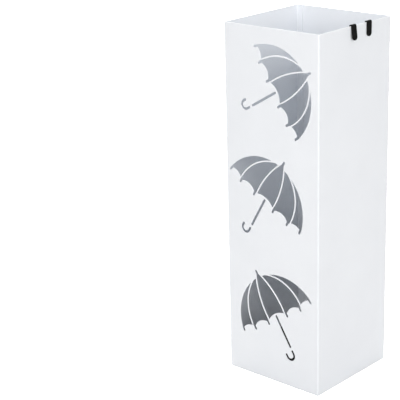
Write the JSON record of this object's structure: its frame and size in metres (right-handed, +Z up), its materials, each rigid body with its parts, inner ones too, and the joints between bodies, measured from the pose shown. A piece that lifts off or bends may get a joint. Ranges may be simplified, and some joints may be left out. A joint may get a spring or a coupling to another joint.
{
  "type": "umbrella stand",
  "caption": "Square steel umbrella stand with umbrella-shaped cut-outs in its front, a lift-out drip tray, foot pads and lift-off hooks on its rim.",
  "frame": {"origin": "on the floor, at the centre of the tube's square footprint, level with the underside of the foot pads", "axes": "+Z up along the tube, -Y out of the front face that holds the cut-outs, +X towards the wall that carries the hooks"},
  "size_m": [0.1593, 0.155, 0.4918],
  "materials": {
    "white_powder_coat": "satin white powder coat with a fine orange-peel texture",
    "black_moulded_plastic": "matte, fine moulded grain",
    "black_coated_steel": "satin black powder coat",
    "foot_rubber": "matte"
  },
  "bodies": {
    "stand": {"body_shell": "white_powder_coat", "base_pan": "white_powder_coat", "foot_front_left": "foot_rubber", "foot_front_right": "foot_rubber", "foot_rear_left": "foot_rubber", "foot_rear_right": "foot_rubber"},
    "tray": {"drip_tray": "black_moulded_plastic"},
    "front_hook": {"hook_front": "black_coated_steel"},
    "rear_hook": {"hook_rear": "black_coated_steel"}
  },
  "joints": [
    {"name": "tray_lift", "type": "slide", "parent": "stand", "child": "tray", "axis": [0, 0, 1], "range_m": [0, 0.5]},
    {"name": "front_hook_lift", "type": "slide", "parent": "stand", "child": "front_hook", "axis": [0, 0, 1], "range_m": [0, 0.04]},
    {"name": "rear_hook_lift", "type": "slide", "parent": "stand", "child": "rear_hook", "axis": [0, 0, 1], "range_m": [0, 0.04]}
  ]
}
